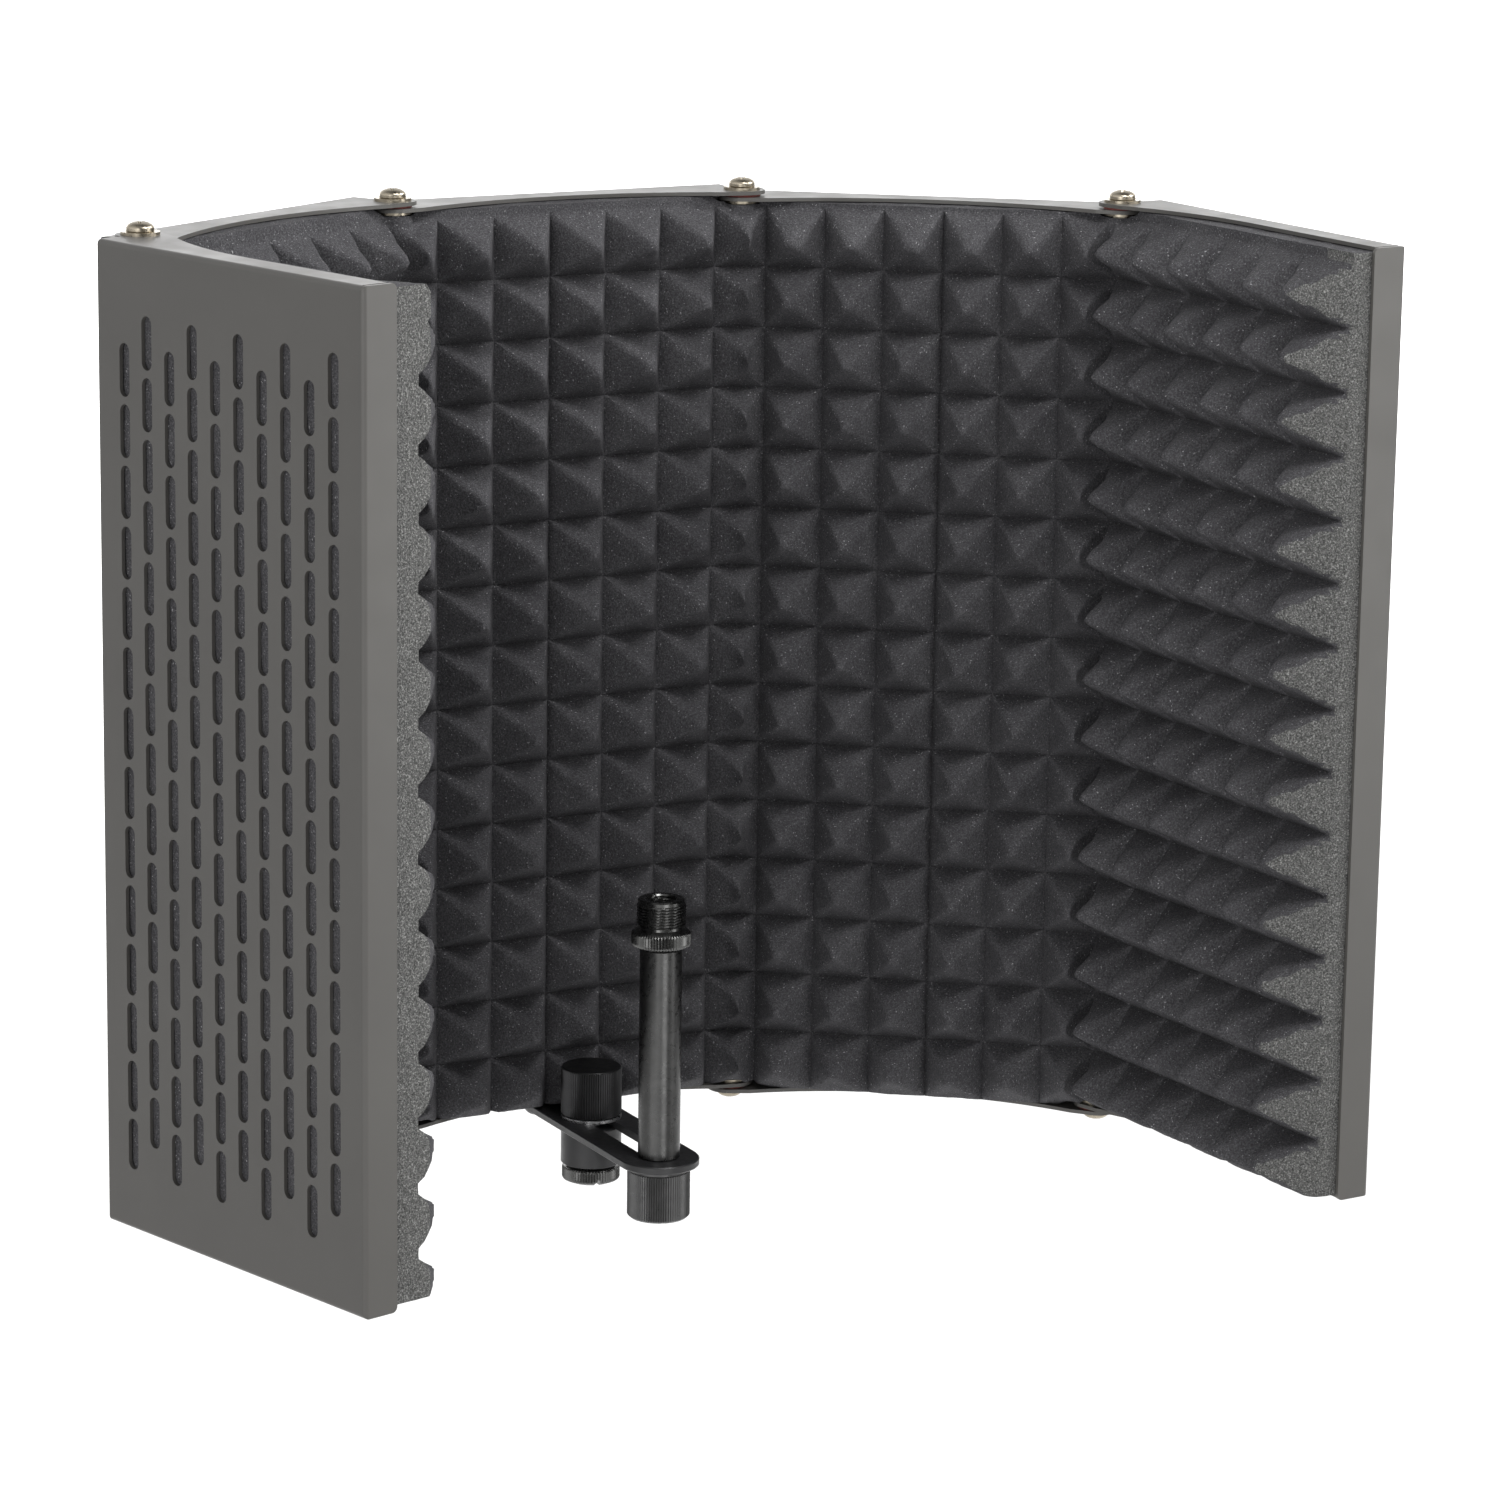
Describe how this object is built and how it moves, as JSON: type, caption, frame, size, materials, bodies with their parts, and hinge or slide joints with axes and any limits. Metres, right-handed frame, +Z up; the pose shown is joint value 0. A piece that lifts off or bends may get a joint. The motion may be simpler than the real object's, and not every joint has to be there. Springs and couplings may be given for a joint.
{
  "type": "microphone isolation shield",
  "caption": "Folding microphone isolation shield: perforated steel panels lined with pyramid foam, on a slotted stand bracket with a sliding microphone post.",
  "frame": {"origin": "mouth of the threaded hole that takes the stand", "axes": "+Z up along the stand, -Y towards the microphone and the foam side, +X to the right"},
  "size_m": [0.3699, 0.2143, 0.3298],
  "materials": {
    "panel_paint": "satin powder coat",
    "bracket_paint": "satin black",
    "hinge_steel": "nickel plated",
    "clamp_zinc": "zinc plated",
    "stud_steel": "zinc plated",
    "thread_brass": "black oxide",
    "fibre": "vulcanised fibre",
    "foam": "open-cell acoustic foam"
  },
  "bodies": {
    "stand": {"stand_socket": "bracket_paint", "clamp_stud": "stud_steel", "stand_thread_adapter": "thread_brass"},
    "clamp_knob": {"clamp_knob": "bracket_paint"},
    "swivel": {"clamp_washer": "clamp_zinc"},
    "centre": {"centre_panel_shell": "panel_paint", "centre_foam": "foam", "bracket_plate": "bracket_paint", "bracket_screws": "bracket_paint", "bracket_nuts": "hinge_steel", "centre_hinge_screws": "hinge_steel", "centre_hinge_washers": "hinge_steel", "centre_hinge_fibre_washers": "fibre", "centre_hinge_nuts": "hinge_steel"},
    "left_inner": {"left_inner_panel_shell": "panel_paint", "left_inner_foam": "foam", "left_hinge_screws": "hinge_steel", "left_hinge_washers": "hinge_steel", "left_hinge_fibre_washers": "fibre", "left_hinge_nuts": "hinge_steel"},
    "left_outer": {"left_outer_panel_shell": "panel_paint", "left_outer_foam": "foam"},
    "right_inner": {"right_inner_panel_shell": "panel_paint", "right_inner_foam": "foam", "right_hinge_screws": "hinge_steel", "right_hinge_washers": "hinge_steel", "right_hinge_fibre_washers": "fibre", "right_hinge_nuts": "hinge_steel"},
    "right_outer": {"right_outer_panel_shell": "panel_paint", "right_outer_foam": "foam"},
    "mic_post": {"mic_post": "bracket_paint", "post_stud": "stud_steel", "post_thread_adapter": "thread_brass"},
    "post_knob": {"post_knob": "bracket_paint"}
  },
  "joints": [
    {"name": "clamp_knob_turn", "type": "hinge", "parent": "stand", "child": "clamp_knob", "pos_m": [0, 0, 0.03], "axis": [0, 0, 1], "continuous": true},
    {"name": "stand_swivel", "type": "hinge", "parent": "stand", "child": "swivel", "pos_m": [0, 0, 0.022], "axis": [0, 0, 1], "continuous": true},
    {"name": "shield_slide", "type": "slide", "parent": "swivel", "child": "centre", "axis": [0, 1, 0], "range_m": [0, 0.028]},
    {"name": "left_inner_fold", "type": "hinge", "parent": "centre", "child": "left_inner", "pos_m": [-0.06365, 0.0163, 0.1718], "axis": [0, 0, 1], "range_deg": [-29, 61]},
    {"name": "left_outer_fold", "type": "hinge", "parent": "left_inner", "child": "left_outer", "pos_m": [-0.17149, -0.04348, 0.1718], "axis": [0, 0, 1], "range_deg": [-76, 14]},
    {"name": "right_inner_fold", "type": "hinge", "parent": "centre", "child": "right_inner", "pos_m": [0.05965, 0.0163, 0.1718], "axis": [0, 0, 1], "range_deg": [-52.9, 37.1]},
    {"name": "right_outer_fold", "type": "hinge", "parent": "right_inner", "child": "right_outer", "pos_m": [0.15799, -0.05808, 0.1718], "axis": [0, 0, 1], "range_deg": [-41.3, 48.7]},
    {"name": "post_slide", "type": "slide", "parent": "centre", "child": "mic_post", "axis": [0, -1, 0], "range_m": [-0.028, 0]},
    {"name": "post_knob_turn", "type": "hinge", "parent": "mic_post", "child": "post_knob", "pos_m": [0, -0.0492, 0.01], "axis": [0, 0, 1], "continuous": true}
  ]
}
